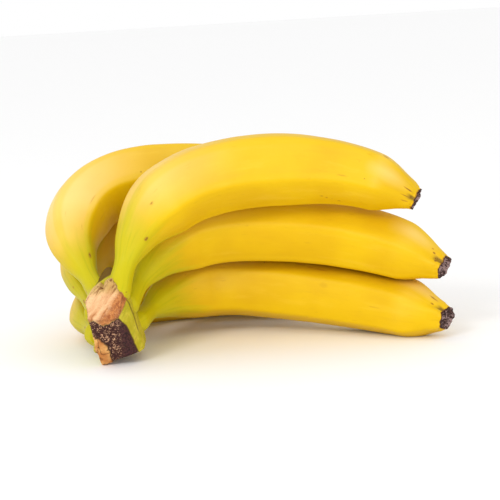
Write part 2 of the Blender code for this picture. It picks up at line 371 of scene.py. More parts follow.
# %% [markdown]
# The rings go a little way into the crown, along the finger, and over the rim of the
# blossom end. The remains of the flower leave a shallow cup there: the rings step forwards,
# turn in and go back down inside. The last tenth of the length has closer rings, because
# it shrinks, folds and tears within a few millimetres.

# %% Rings from root to blossom end
AROUND = 150
ALONG, FINE_RINGS, FINE_FROM = 400, 100, 0.90
ROOT_RINGS, ROOT_DEPTH, ROOT_SHRINK = 5, 0.0055, 0.35
LIP_RINGS = 32
NECK_SWELL, NECK_SWELL_TO = 0.12, 0.07
COLLAR, COLLAR_TO = 0.42, 0.045
# The blossom end as steps (forwards in mm, share of the tip's radius), rim first.
TIP_TURN = [(0.0, 1.0), (0.20, 1.03), (0.30, 0.97), (0.10, 0.86), (-0.5, 0.78), (-1.2, 0.68),
            (-1.5, 0.50), (-1.2, 0.34), (-0.5, 0.20), (-0.2, 0.10)]


def held(values):
    """Values per ring, the first and last repeated over the root and the lip."""
    return np.concatenate([np.repeat(values[:1], ROOT_RINGS, axis=0), values,
                           np.repeat(values[-1:], LIP_RINGS, axis=0)])


def finger_rings(spec):
    """Per ring: share t of the length, share of the lip, centre, radius and three directions.

    The root steps back along the first heading; the lip follows the steps of TIP_TURN.
    """
    t = np.concatenate([np.linspace(0.0, FINE_FROM, ALONG - FINE_RINGS),
                        np.linspace(FINE_FROM, 1.0, FINE_RINGS + 1)[1:]])
    centre, heading, normal, across = finger_path(spec, t)
    swelling = NECK_SWELL * smooth(1.0 - t / NECK_SWELL_TO)
    swelling = swelling + spec.get("collar", COLLAR) * smooth(1.0 - t / COLLAR_TO) ** 2
    radius = finger_radius(spec, t) * (1.0 + swelling)
    inwards = np.linspace(0.0, 1.0, LIP_RINGS + 1)[1:]
    knots = np.linspace(0.0, 1.0, len(TIP_TURN))
    forwards, narrowing = (np.interp(inwards, knots, steps) for steps in np.array(TIP_TURN).T)
    back = np.linspace(1.0, 0.0, ROOT_RINGS + 1)[:-1]
    centre = np.concatenate([centre[:1] - heading[:1] * ROOT_DEPTH * back[:, None],
                             centre, centre[-1:] + heading[-1:] * (forwards * MM)[:, None]])
    radius = np.concatenate([radius[0] * (1.0 - ROOT_SHRINK * back), radius, radius[-1] * narrowing])
    return SimpleNamespace(
        t=held(t), lip=np.concatenate([np.zeros(ROOT_RINGS + ALONG), inwards]), centre=centre,
        radius=radius, heading=held(heading), normal=held(normal), across=held(across))


print("rings in one finger:", ROOT_RINGS + ALONG + LIP_RINGS)

# %% [markdown]
# Real skin isn't a clean loft. It waves a little, the ridges wander, the tip is drawn into
# pleats as it dries, and its rim is torn. Each of these could be sculpted; here each is one
# term that is added to the radius or pushed along the finger, so it can be tuned alone.

# %% Surface of a finger
RIDGE_STRENGTH, RIDGE_AT_ENDS = 0.50, 0.35
RIDGE_DRIFT = math.radians(4.0)
DRIFT_FIXED_AT = 0.45
WAVE, WAVE_SIZE, RIPPLE, RIPPLE_SIZE = 0.00022, 0.030, 0.00010, 0.009
PLEAT_ANGLE, PLEAT_WIDTH, PLEAT_DEPTH = math.radians(112.0), 0.34, 0.13
PLEATS_FROM, PLEATS_OVER = 0.940, 0.045
TORN_FROM, TORN_OVER, TORN_DEPTH, TORN_SIZE = 0.975, 0.025, 0.09, 0.0035
HUSK_SIZE, HUSK_PUSH = 0.0024, 0.0008
RIM_PUSH, RIM_PUSH_FINE, RIM_PULL = 0.0008, 0.0004, 0.0008


def finger_surface(spec, seed, ring):
    """Point = centre + radius * (cos theta * normal + sin theta * across), with its relief."""
    t = ring.t
    theta = np.linspace(0.0, 2.0 * math.pi, AROUND, endpoint=False)[None, :].repeat(len(t), 0)
    drift = RIDGE_DRIFT * np.sin(3.0 * t + seed)
    turn = (math.radians(spec["turn"]) + drift - drift[np.searchsorted(t, DRIFT_FIXED_AT)])[:, None]
    shape = ridged_section(theta, turn)
    body = smooth((t - NECK_AT) / (FRONT_AT - NECK_AT)) * (1.0 - smooth((t - TAPER_AT) / (1.0 - TAPER_AT)))
    spokes = (np.cos(theta)[..., None] * ring.normal[:, None]
              + np.sin(theta)[..., None] * ring.across[:, None])
    place = ring.centre[:, None] + ring.radius[:, None, None] * spokes
    strength = RIDGE_STRENGTH * (RIDGE_AT_ENDS + (1.0 - RIDGE_AT_ENDS) * body[:, None])
    size = ring.radius[:, None] * (1.0 + strength * (shape - 1.0))
    size = size + WAVE * body[:, None] * noise(place, WAVE_SIZE, seed)
    size = size + RIPPLE * noise(place, RIPPLE_SIZE, seed + 3)

    from_fold = (theta - PLEAT_ANGLE + math.pi) % (2.0 * math.pi) - math.pi
    pleats = bump_at(from_fold, 0.0, PLEAT_WIDTH)
    pleats = pleats + 0.35 * np.cos(RIDGES * theta + 1.3 * seed) * (1.0 - pleats)
    drawn_in = smooth((t - PLEATS_FROM) / PLEATS_OVER)[:, None]
    size = size * (1.0 - PLEAT_DEPTH * drawn_in * pleats)

    torn = smooth((t - TORN_FROM) / TORN_OVER)[:, None]
    edge = rough_noise(place, TORN_SIZE, seed + 5)
    size = size * (1.0 + TORN_DEPTH * torn * edge)
    husk = rough_noise(place + 0.004 * shape[..., None] * spokes, HUSK_SIZE, seed + 21)
    inside = smooth((ring.lip - 0.12) / 0.2)[:, None]
    push = RIM_PUSH * torn * edge + RIM_PUSH_FINE * torn * noise(place, 0.0012, seed + 9) - RIM_PULL * torn
    push = push + HUSK_PUSH * inside * husk
    points = ring.centre[:, None] + size[..., None] * spokes + push[..., None] * ring.heading[:, None]
    return SimpleNamespace(theta=theta, shape=shape, body=body, pleats=pleats, drawn_in=drawn_in,
                           edge=edge, husk=husk, points=points)


corner = ridged_section(np.zeros((1, 1)), np.zeros((1, 1)))[0, 0]
print("a ridge stands out by", round(RIDGE_STRENGTH * (corner - 1.0), 3), "of the radius")

# %% [markdown]
# Handling leaves rubbed and bruised spots. A random scatter would look even, but real
# spots sit where fruit meets fruit or box, so they are placed one by one: share of the
# length, angle round the section in degrees, length in mm, width in mm, and strength.

# %% Spots
SCARS = {
    "finger_inner_top": [
        (0.157, 132, 2.2, 1.6, 0.9), (0.241, 94, 2.0, 1.2, 0.7), (0.888, 50, 3.0, 1.6, 0.8),
        (0.741, 168, 1.4, 0.8, 0.7), (0.757, 172, 1.6, 0.7, 0.8), (0.773, 175, 1.0, 0.8, 0.6),
        (0.795, 180, 1.5, 0.8, 0.7), (0.745, 109, 7.0, 0.5, 0.4), (0.790, 118, 6.0, 0.5, 0.4),
        (0.970, 92, 5.0, 0.6, 0.9), (0.966, 118, 4.5, 0.5, 0.8), (0.972, 137, 3.0, 0.5, 0.7),
        (0.350, 140, 5.0, 0.5, 0.3), (0.562, 260, 9.0, 1.2, 0.8), (0.480, 310, 6.0, 2.0, 0.5)],
    "finger_inner_middle": [
        (0.970, 98, 1.6, 0.9, 0.9), (0.978, 112, 1.4, 0.8, 0.9), (0.962, 88, 1.2, 0.7, 0.7),
        (0.983, 124, 1.6, 0.8, 0.9), (0.640, 160, 6.0, 0.5, 0.35), (0.460, 100, 7.0, 0.6, 0.35),
        (0.700, 250, 8.0, 1.4, 0.7)],
    "finger_inner_bottom": [
        (0.662, 142, 4.5, 2.2, 0.20), (0.575, 103, 6.0, 0.8, 0.6), (0.605, 107, 5.0, 0.7, 0.6),
        (0.635, 110, 5.5, 0.8, 0.6), (0.955, 86, 4.0, 0.7, 0.9), (0.960, 110, 1.5, 0.8, 0.8),
        (0.820, 165, 7.0, 0.5, 0.35)],
    "finger_outer_top": [
        (0.123, 127, 3.0, 1.4, 0.9), (0.036, 10, 3.0, 0.8, 0.9), (0.300, 120, 8.0, 0.6, 0.35),
        (0.620, 330, 12.0, 1.5, 0.7), (0.450, 20, 7.0, 2.2, 0.6)],
    "finger_outer_middle": [
        (0.048, 26, 3.5, 1.4, 0.9), (0.118, 20, 1.5, 1.0, 0.6), (0.550, 10, 10.0, 1.2, 0.7)],
    "finger_outer_bottom": [(0.060, 12, 2.5, 1.2, 0.8), (0.680, 350, 9.0, 1.4, 0.7)],
}


def scar_mark(spots, t, theta, radius, length, edge):
    """The strongest spot at each point: a bell over the distance in its own lengths and widths."""
    total = np.zeros(theta.shape)
    for at, angle, long, wide, strength in spots:
        off = (theta - math.radians(angle) + math.pi) % (2.0 * math.pi) - math.pi
        far = ((t[:, None] - at) * length * 1000.0 / (0.6 * long)) ** 2
        far = far + (off * radius[:, None] * 1000.0 / (0.6 * wide)) ** 2
        total = np.maximum(total, strength * smooth(1.35 - np.sqrt(far) + 0.5 * edge))
    return total


print("spots on each finger:", [len(spots) for spots in SCARS.values()])

# %% [markdown]
# Where two fingers lie close, their skins rub and turn brown along a thin line, and the
# same line darkens the narrow gap as painted shade. The mark needs the gap to the other
# fingers at every point. A search over all triangles would be slow; the distance to the
# other's centre line, less its radius there, is close enough.

# %% Pressed skin and painted shade
PRESS_AND_SHADE_REACH = 0.0017
STATIONS = 120


def gap_to(points, spec):
    """Distance from points to another finger: across to its nearest station, less its radius."""
    t = np.linspace(0.0, 0.98, STATIONS)
    centre, _, normal, across = finger_path(spec, t)
    flat = points.reshape(-1, 3)
    squares = (centre ** 2).sum(axis=1)[None, :] - 2.0 * flat @ centre.T
    k = squares.argmin(axis=1)
    off = flat - centre[k]
    sideways, outwards = (off * across[k]).sum(axis=1), (off * normal[k]).sum(axis=1)
    theta = np.arctan2(sideways, outwards)
    shape = ridged_section(theta[:, None], np.full((len(k), 1), math.radians(spec["turn"])))[:, 0]
    radius = finger_radius(spec, t)[k] * (1.0 + RIDGE_STRENGTH * (shape - 1.0))
    return (np.hypot(sideways, outwards) - radius).reshape(points.shape[:-1])


def pressed_and_shaded(name, points, t):
    """Falls off as exp(-gap / reach); weaker at the neck and near the tip."""
    others = [spec for key, spec in FINGERS.items() if key != name]
    gap = np.min([gap_to(points, spec) for spec in others], axis=0)
    # Partly rubbed skin and partly painted shade in the gap between fingers.
    press = np.exp(-np.maximum(gap, 0.0) / PRESS_AND_SHADE_REACH) * smooth((t - 0.10) / 0.05)[:, None]
    return press * (1.0 - 0.8 * smooth((t - 0.80) / 0.10))[:, None]


roots = np.array([[spec["root"]] for spec in FINGERS.values()])
print("gap between the first two roots in mm:",
      np.round(1000 * gap_to(roots[:1], FINGERS["finger_inner_middle"])[0, 0], 1))

# %% [markdown]
# The other marks say how far along a point is, whether it is on a ridge and how dry it is.
# `bloom` is a painted highlight: paler skin on the side that faces up and to the
# front left, towards the key lamp, mostly before the middle of the length and again on the
# shoulder of the tip. `unrolled` is the point's place on a straight, even tube, so that
# veins can run along the finger however it bends.

# %% Marks on a finger
# The painted highlight lies on surfaces that face this way, towards the key lamp.
HIGHLIGHT_SIDE = np.array([-0.45, -0.35, 0.82])
HIGHLIGHT_STRENGTH, SHOULDER_HIGHLIGHT = 0.15, 0.54
SHOULDER_ANGLE = math.radians(86.0)
DRIES_AT, DRY_RAGGED, DRY_OVER = 0.9935, 0.004, 0.0045
UNROLLED_RADIUS = 0.017


def outward(points):
    """Unit normals of the grid: along the ring crossed with along the finger."""
    facing = np.cross(np.gradient(points, axis=1), np.gradient(points, axis=0))
    return facing / (np.linalg.norm(facing, axis=-1, keepdims=True) + 1e-12)


def finger_marks(name, spec, seed, ring, skin, points):
    """One number (or place) per point under each name, most of them from 0 to 1."""
    t, theta, body = ring.t, skin.theta, skin.body[:, None]
    dried = smooth((t[:, None] - spec.get("dries_at", DRIES_AT) - DRY_RAGGED * skin.edge) / DRY_OVER)
    dried = np.maximum(dried, smooth(ring.lip / 0.06)[:, None])
    crease = skin.drawn_in * smooth((skin.pleats - 0.25) / 0.6) * smooth((t - 0.965) / 0.02)[:, None]
    unrolled = np.stack([UNROLLED_RADIUS * np.cos(theta), UNROLLED_RADIUS * np.sin(theta),
                         (spec["length"] * t[:, None] + 0.5 * seed) + 0.0 * theta], axis=-1)
    stretch = 1.0 - 0.85 * smooth((t - 0.30) / 0.25) + 0.8 * bump_at(t, 0.91, 0.06)
    # Painted highlight: paler skin where the surface faces up and to the front left, towards the key lamp.
    bloom = smooth((outward(points) @ HIGHLIGHT_SIDE - 0.20) / 0.65) * (skin.body * stretch)[:, None]
    bloom = bloom * spec.get("bloom", HIGHLIGHT_STRENGTH)
    shoulder = bump_at(theta, SHOULDER_ANGLE, 0.55) * bump_at(t, 0.905, 0.085)[:, None]
    return {
        "along": t[:, None].repeat(AROUND, 1) + spec.get("ripe", 0.0),
        "ridge": smooth((skin.shape - 1.0) / 0.055) * body,
        "dried": dried,
        "lip": ring.lip[:, None].repeat(AROUND, 1),
        "bloom": np.maximum(bloom, SHOULDER_HIGHLIGHT * shoulder),
        "unrolled": unrolled,
        "scars": scar_mark(SCARS[name], t, theta, ring.radius, spec["length"], skin.edge),
        "crease": crease,
        "press": pressed_and_shaded(name, skin.points, t),
        "husk": 0.5 + 0.5 * skin.husk}


print("bloom faces", np.round(HIGHLIGHT_SIDE / np.linalg.norm(HIGHLIGHT_SIDE), 2))

# %% [markdown]
# Each finger is now drawn, laid down and kept above the floor. Its volume is positive when
# its faces point outwards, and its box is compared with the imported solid's.

# %% The six skins
def make_finger(name, spec, seed):
    """The rings, their surface and their marks, closed and put in the node's place."""
    ring = finger_rings(spec)
    skin = finger_surface(spec, seed, ring)
    points = laid(skin.points)
    points[..., 2] = np.maximum(points[..., 2], 0.0)
    marks = finger_marks(name, spec, seed, ring, skin, points)
    piece = closed_tube(name + "_skin", points, marks, around_up=True)
    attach(piece, "root")
    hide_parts(name)
    return piece


fingers = {name: make_finger(name, spec, seed + 1)
           for seed, (name, spec) in enumerate(FINGERS.items())}
for name, piece in fingers.items():
    low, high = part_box(name)
    points = points_of(piece)
    print(name, "volume", round(signed_volume(piece), 1), "cm3; box differs by mm",
          np.round(1000 * (points.min(0) - np.array(low)), 1),
          np.round(1000 * (points.max(0) - np.array(high)), 1))

# %% [markdown]
# ## The crown
#
# The crown is a block of stem with flat knife cuts. Each cut is a plane at a distance from
# the middle, so the surface can be found from the middle outwards: in every direction the
# nearest plane wins. A soft minimum rounds the edges a little. At the back the block
# reaches up between the necks, where the skin of the fingers grows together.

# %% The crown's cuts
CUTS = {
    "upper": (0.0166, (0.05, -0.89, 0.45)),
    "lower": (0.0144, (0.06, -0.90, -0.44)),
    "strip": (0.0115, (0.86, -0.50, 0.04)),
    "right": (0.0106, (0.98, 0.0, 0.21)),
    "left": (0.0110, (-0.99, 0.0, -0.16)),
    "left_top": (0.0171, (-0.80, 0.02, 0.60)),
    "top": (0.0194, (-0.40, 0.0, 0.92)),
    "right_top": (0.0130, (0.81, 0.0, 0.58)),
    "web": (0.0205, (0.0, 0.70, 0.70)),
    "back": (0.0200, (0.0, 1.0, 0.0)),
    "floor": (0.0238, (0.0, 0.0, -1.0)),
    "floor_right": (0.0202, (0.31, 0.0, -0.95)),
}
CROWN_AROUND = 440
CROWN_ROWS = 210
EDGE_SHARPNESS = 30.0
TOWARDS_FRONT = 0.55      # closer columns on the cut side
POLE_GAP = 0.004


def crown_block():
    """point = direction * distance, the distance a soft minimum over the knife's planes.

    Returns the directions, the points, and each plane's share of the surface there.
    """
    turn = np.linspace(-math.pi, math.pi, CROWN_AROUND, endpoint=False)
    turn = turn - TOWARDS_FRONT * np.sin(turn)
    drop = np.linspace(POLE_GAP, math.pi - POLE_GAP, CROWN_ROWS)[:, None]
    direction = np.stack([
        np.sin(drop) * np.sin(turn), -np.sin(drop) * np.cos(turn),
        np.cos(drop) + 0.0 * turn], axis=-1)
    normals = np.array([np.array(n) / np.linalg.norm(n) for _, n in CUTS.values()])
    distances = np.array([d for d, _ in CUTS.values()])
    nearness = np.maximum(direction @ normals.T / distances, 0.0)
    total = (nearness ** EDGE_SHARPNESS).sum(axis=-1)
    reach = total ** (-1.0 / EDGE_SHARPNESS)
    share = nearness ** EDGE_SHARPNESS / total[..., None]
    return direction, direction * reach[..., None], dict(zip(CUTS, np.moveaxis(share, -1, 0)))


direction, block, shares = crown_block()
print("crown block in mm:", np.round(1000 * (block.max((0, 1)) - block.min((0, 1))), 1))

# %% [markdown]
# The knife went through stem of different ages. The upper cut is fresh: pale, with fibres
# that run down to the left, and rough and orange at its lower right. The lower cut is old,
# dark and crumbly, with a light plate of bark at its lower left. A strip of green skin is
# left on the right. The borders between them are drawn as lines on the front, in mm from
# the crown's middle, and noise makes them ragged.

# %% Borders on the crown's front
# (sideways, height) along the lower edge of the fresh cut
FRESH_EDGE = [(-14.0, 1.0), (-9.0, 3.2), (-5.0, 0.6), (-1.0, 0.8), (3.0, 3.2), (8.0, 6.0)]
# (height, sideways) along the left edge of the green strip
STRIP_EDGE = [(-24.0, 13.0), (-14.0, 10.6), (-8.0, 8.8), (-1.8, 6.6), (3.3, 3.4), (11.0, 7.6),
              (24.0, 9.0)]
# (height, sideways) along the right edge of the plate of bark
BARK_EDGE = [(-24.0, -1.0), (-19.0, -2.2), (-13.0, -3.6), (-8.0, -6.4), (-5.0, -11.0), (24.0, -16.0)]
FIBRES = np.array([-0.515, -0.41, -0.75])


def border(knots, where):
    """Straight pieces through the knots, in metres."""
    at, value = np.array(knots).T / 1000.0
    return np.interp(where, at, value)


def along_fibres(place, stretch):
    """The place squeezed along the fibres, so that noise on it draws long streaks."""
    axis = FIBRES / np.linalg.norm(FIBRES)
    along = place @ axis
    return place - (along * (1.0 - 1.0 / stretch))[..., None] * axis


print("fibres run down by", round(float(-FIBRES[2] / np.linalg.norm(FIBRES)), 2), "of their length")

# %% [markdown]
# The finishes could be separate meshes, but then their edges would have to meet exactly.
# One surface with marks is simpler: each mark is a soft step across a border, and the
# same marks shape the relief below and colour the material later.

# %% Where each finish lies on the crown
def crown_zones(place, shares):
    """Marks from 0 to 1: soft steps across the borders, with noise on the distance to them."""
    x, depth, height = np.moveaxis(place, -1, 0)
    ragged = 0.0009 * rough_noise(place, 0.004, 41)
    fine = 0.0004 * noise(place, 0.0011, 44)
    streaks = rough_noise(along_fibres(place, 7.0), 0.0009, 51)
    broad_streaks = noise(along_fibres(place, 3.0), 0.0034, 55)
    crumbs = rough_noise(place, 0.0015, 61)

    under = shares["floor"] + shares["floor_right"]
    top = shares["left_top"] + shares["top"] + shares["right_top"]
    top = top * smooth(0.5 - (depth + 0.003 + 2.0 * ragged) / 0.001)
    front = smooth((shares["upper"] + shares["lower"] + shares["strip"] + under + top - 0.3) / 0.3)
    past_strip = x - border(STRIP_EDGE, height) + 0.4 * ragged
    cut = front * smooth(0.5 - past_strip / 0.0005)
    above = height - border(FRESH_EDGE, x) + ragged + fine
    fresh = cut * smooth(0.5 + above / 0.0006)
    old = cut * (1.0 - smooth(0.5 + above / 0.0006))
    past_bark = x - border(BARK_EDGE, height) + 1.6 * ragged
    bark = old * smooth(0.5 - past_bark / 0.0006)
    torn = fresh * smooth(0.5 + (x + 0.0072 - 0.70 * height + 2.2 * ragged) / 0.0045)
    cracks = old * bump_at(past_bark, 0.0, 0.0007)
    cracks = np.maximum(cracks, bark * bump_at(noise(place, 0.0050, 66), 0.0, 0.07))
    seam = bump_at(shares["right"] + shares["right_top"], 0.45, 0.40) * (1.0 - fresh)
    seam = seam * smooth((height + 0.009) / 0.004) * (depth < 0.0)
    return SimpleNamespace(
        cut=cut, fresh=fresh, old=old, bark=bark, torn=torn, cracks=cracks, seam=seam,
        streaks=streaks, broad_streaks=broad_streaks, crumbs=crumbs,
        coarse=old * (1.0 - bark) * smooth((0.0062 - x + ragged) / 0.006),
        lip=fresh * bump_at(above, 0.0016, 0.0018),
        # Painted shade: the web high at the back, between the necks, is marked to be darkened.
        web_shade=smooth((depth - 0.0005) / 0.002) * smooth((height - 0.008) / 0.004),
        crest=fresh * smooth((height - 0.0130 + 1.2 * ragged) / 0.004),
        edges=fresh * bump_at(shares["upper"], 0.55, 0.40),
        outline=np.maximum(front * bump_at(past_strip, 0.0, 0.0004) * (1.0 - torn), seam))


zone = crown_zones(block, shares)
print("mean share of fresh, old and bark:",
      [round(float(mark.mean()), 3) for mark in (zone.fresh, zone.old, zone.bark)])

# %% [markdown]
# Fibres stand up where the stem was cut, the old cut has shrunk, and the bark lies on it
# as a plate. Each is a height in metres times its mark, all added up and pushed outwards.

# %% Relief of the crown
def crown_relief(place, shares, zone):
    """Height above the flat cuts, in metres: the sum of the terms of all finishes."""
    x, depth, height = np.moveaxis(place, -1, 0)
    rise = 0.00045 * noise(place, 0.008, 31) + (1.0 - zone.cut) * 0.00018 * zone.streaks
    rise = rise + zone.fresh * (0.00020 * zone.streaks + 0.00026 * zone.broad_streaks)
    rise = rise + zone.torn * 0.00050 * zone.crumbs + zone.lip * 0.00085
    rise = rise + zone.old * (-0.00035 + 0.00010 * zone.crumbs) + zone.coarse * 0.00060 * zone.crumbs
    rise = rise + zone.bark * (0.00055 + 0.00012 * zone.streaks) - zone.cracks * 0.00045
    fibrous_top = bump_at(shares["upper"], 0.5, 0.5) * smooth((height - 0.010) / 0.006)
    rise = rise + 0.0012 * fibrous_top * zone.streaks
    knob = shares["left"] * bump_at(height, -0.0125, 0.0042)
    rise = rise + 0.0024 * knob - 0.0003 * zone.seam
    notch = bump_at(x, -0.0042, 0.0016) * smooth((height - 0.0145) / 0.004)
    tufts = smooth((height - 0.0125) / 0.005) * rough_noise(along_fibres(place, 5.0), 0.0016, 71)
    rise = rise - 0.0022 * notch * (depth < 0.0) + 0.0007 * tufts * (depth < 0.001)
    web = np.exp(-((x + 0.002) / 0.0040) ** 2 - ((depth - 0.010) / 0.0050) ** 2)
    return rise + 0.0050 * web * (height > 0.0)


rise = crown_relief(block, shares, zone)
print("relief from", round(1000 * float(rise.min()), 2), "to", round(1000 * float(rise.max()), 2), "mm")

# %% [markdown]
# The block with its relief is one closed grid around a line from top to bottom, so the
# same mesh function serves it. Its rings run the other way round than the fingers'.

# %% The crown's skin
def make_crown(direction, block, rise, zone):
    """point = block + rise * direction, laid down and closed, with the marks on it."""
    name = "crown"
    points = laid(block + rise[..., None] * direction)
    points[..., 2] = np.maximum(points[..., 2], 0.0)
    marks = {mark: getattr(zone, mark) for mark in ("fresh", "old", "bark", "torn", "coarse", "cracks")}
    marks.update(streaks=0.5 + 0.5 * zone.streaks, crumbs=0.5 + 0.5 * zone.crumbs,
                 blotches=0.5 + 0.5 * zone.broad_streaks)
    marks.update({mark: getattr(zone, mark) for mark in ("web_shade", "crest", "edges", "outline")})
    piece = closed_tube(name + "_stub", points, marks, around_up=False)
    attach(piece, "root")
    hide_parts(name)
    return piece


crown = make_crown(direction, block, rise, zone)
print("crown volume", round(signed_volume(crown), 1), "cm3")

# %% [markdown]
# ## Finishes
#
# Shader formulas are easier to read as Python than as a drawing of nodes. The small class
# below wraps one output of a node. Its operators add Math nodes, and `add` makes any other
# node from its settings and its inputs.

# %% A socket that can be used in formulas
class Wire:
    """One output of a node; +, - and * make Math nodes."""

    def __init__(self, tree, out=None):
        self.tree = tree
        self.out = out

    def add(self, kind, settings=None, values=None, out=0):
        """A new node: its settings first, then its inputs, each a Wire or a value."""
        node = self.tree.nodes.new(kind)
        for setting, value in (settings or {}).items():
            setattr(node, setting, value)
        for socket, value in (values or {}).items():
            if isinstance(value, Wire):
                self.tree.links.new(value.out, node.inputs[socket])
            else:
                node.inputs[socket].default_value = value
        return Wire(self.tree, node.outputs[out])

    def math(self, operation, *others):
        return self.add("ShaderNodeMath", {"operation": operation},
                        dict(enumerate((self,) + others)))

    def __add__(self, other):
        return self.math("ADD", other)

    def __sub__(self, other):
        return self.math("SUBTRACT", other)

    def __mul__(self, other):
        return self.math("MULTIPLY", other)

    def __rsub__(self, other):
        return self.add("ShaderNodeMath", {"operation": "SUBTRACT"}, {0: other, 1: self})

    __radd__ = __add__
    __rmul__ = __mul__

    def step(self, low, high):
        """Smoothly from 0 at low to 1 at high."""
        return self.add("ShaderNodeMapRange", {"interpolation_type": "SMOOTHSTEP"},
                        {"Value": self, "From Min": low, "From Max": high})

    def to(self, colour, amount):
        """This colour, moved towards another by an amount from 0 to 1."""
        return self.add("ShaderNodeMix", {"data_type": "RGBA", "clamp_factor": True},
                        {0: amount, 6: self, 7: colour}, out=2)


def srgb(r, g, b):
    """A screen colour from 0 to 255 as the linear colour that shaders use."""
    c = np.array([r, g, b]) / 255.0
    line = np.where(c <= 0.04045, c / 12.92, ((c + 0.055) / 1.055) ** 2.4)
    return (*[float(v) for v in line], 1.0)


print("middle grey in linear light:", round(srgb(128, 128, 128)[0], 3))

# %% [markdown]
# Every finish starts in the same way, so the first steps are shared: fetching the marks
# that were stored on the mesh, Blender's own noise at a size in metres, round dots, a mix
# of two colours, and the last wires to the shader.

# %% First wires of a material
def new_material(name):
    """A material, its shader, a pen for its nodes, and the point's place on the object."""
    material = bpy.data.materials.new(name)
    material.use_nodes = True
    tree = material.node_tree
    pen = Wire(tree)
    return material, tree.nodes["Principled BSDF"], pen, pen.add("ShaderNodeTexCoord", out="Object")


def marks_of(pen, *names):
    """The numbers stored on the mesh's points under these names."""
    return SimpleNamespace(**{
        name: pen.add("ShaderNodeAttribute", {"attribute_name": name}, out="Fac") for name in names})


def speckle(place, size, detail=2.0, roughness=0.5):
    """Blender's noise, from 0 to 1, with bumps of this size in metres."""
    return place.add("ShaderNodeTexNoise", {}, {
        "Vector": place, "Scale": 1.0 / size, "Detail": detail, "Roughness": roughness})


def dots(place, spacing, inner, outer):
    """Round dots: 1 near the middle of each cell of a Voronoi pattern, 0 beyond the outer share."""
    cells = place.add("ShaderNodeTexVoronoi", {"feature": "F1"},
                      {"Vector": place, "Scale": 1.0 / spacing}, out="Distance")
    return 1.0 - cells.step(inner, outer)


def between(amount, low, high):
    """From one colour to another by an amount from 0 to 1."""
    return amount.add("ShaderNodeMix", {"data_type": "RGBA"}, {0: amount, 6: low, 7: high}, out=2)


def finish(pen, shader, colour, rough, specular, bump, depth, height):
    """Wire the colour, the roughness and a bump of this strength and depth to the shader."""
    relief = pen.add("ShaderNodeBump", {}, {"Strength": bump, "Distance": depth, "Height": height},
                     out="Normal")
    pen.tree.links.new(colour.out, shader.inputs["Base Color"])
    pen.tree.links.new(rough.out, shader.inputs["Roughness"])
    pen.tree.links.new(relief.out, shader.inputs["Normal"])
    shader.inputs["Specular IOR Level"].default_value = specular


# %% [markdown]
# Ripe skin is a warm yellow that is never even, and greener at the neck, where it ripens
# last. A painted highlight makes the skin paler on the side that faces the key lamp. Fine
# veins follow the finger, so their noise is stretched along the unrolled skin. A painted
# picture would need careful unwrapping; formulas on the marks fit all six fingers at once.

# %% Yellow and green of the skin
YELLOW, YELLOW_LIGHT = srgb(216, 171, 0), srgb(223, 181, 0)
VEIN, VEIN_LIGHT = srgb(204, 156, 8), srgb(236, 198, 60)
HIGHLIGHT_COLOUR, RIDGE_COLOUR = srgb(244, 212, 136), srgb(224, 184, 0)
NECK_GREEN, STREAK_GREEN = srgb(184, 178, 10), srgb(150, 158, 0)


def ripening(mark, place, long_way):
    """Clouded yellow, veins, a painted highlight and ridges, moved to green towards the neck."""
    clouds = speckle(place, 0.030)
    yellow = between(clouds.step(0.35, 0.65), YELLOW, YELLOW_LIGHT)
    veins = speckle(long_way, 0.0045, 4.0, 0.6)
    yellow = yellow.to(VEIN, veins.step(0.52, 0.72) * 0.18)
    yellow = yellow.to(VEIN_LIGHT, (1.0 - veins.step(0.30, 0.46)) * 0.16)
    # Painted highlight: paler where the skin faces the key lamp.
    yellow = yellow.to(HIGHLIGHT_COLOUR, mark.bloom * (0.55 + clouds * 0.5))
    yellow = yellow.to(RIDGE_COLOUR, mark.ridge * 0.35)
    neck = 1.0 - (mark.along - mark.ridge * 0.05 + (clouds - 0.5) * 0.16).step(0.10, 0.26)
    colour = yellow.to(NECK_GREEN, neck * 0.85)
    return colour.to(STREAK_GREEN, neck * speckle(long_way, 0.004, 3.0).step(0.50, 0.72) * 0.35)


# %% [markdown]
# Brown comes last, on top of the yellow: scuffs, pressed lines that are partly painted
# shade, spots, freckles, and the blossom end, which dries to nearly black with a paler,
# crumpled inside.

# %% Browns of the skin
SCUFF, PRESSED_AND_SHADED = srgb(176, 126, 20), srgb(130, 76, 4)
SPOT, SPOT_DARK, FRECKLE = srgb(168, 106, 28), srgb(96, 54, 26), srgb(140, 92, 22)
DRYING, CREASE = srgb(150, 98, 30), srgb(70, 40, 26)
HUSK_DARK, HUSK_LIGHT, CUP = srgb(36, 20, 18), srgb(96, 66, 58), srgb(172, 144, 140)


def handled(colour, mark, place, long_way, fine):
    """Scuffs, rubbed brown and painted shade where fingers lie close, and spots darker in their middle."""
    scuffs = speckle(long_way, 0.0016, 4.0, 0.6).step(0.60, 0.72) * speckle(place, 0.018).step(0.50, 0.62)
    # Rubbed brown and painted shade along the gaps where fingers lie close.
    colour = colour.to(SCUFF, scuffs * 0.30).to(PRESSED_AND_SHADED, mark.press * 0.75)
    colour = colour.to(SPOT, mark.scars.step(0.0, 0.55) * 0.55)
    return colour.to(SPOT_DARK, mark.scars.step(0.45, 0.85) * fine.step(0.35, 0.60) * 0.8)


def dried_end(colour, mark, fine):
    """Brown, then nearly black towards the rim, and the crumpled husk in the cup."""
    colour = colour.to(DRYING, mark.dried.step(0.02, 0.45) * 0.9)
    colour = colour.to(CREASE, mark.crease * (fine * 0.5 + 0.45))
    colour = colour.to(between(fine.step(0.44, 0.66), HUSK_DARK, HUSK_LIGHT), mark.dried.step(0.45, 0.95))
    folds = (mark.husk * 0.6 + fine * 0.4).step(0.47, 0.57) * 0.70 + 0.06
    return colour.to(CUP, mark.lip.step(0.14, 0.28) * folds)


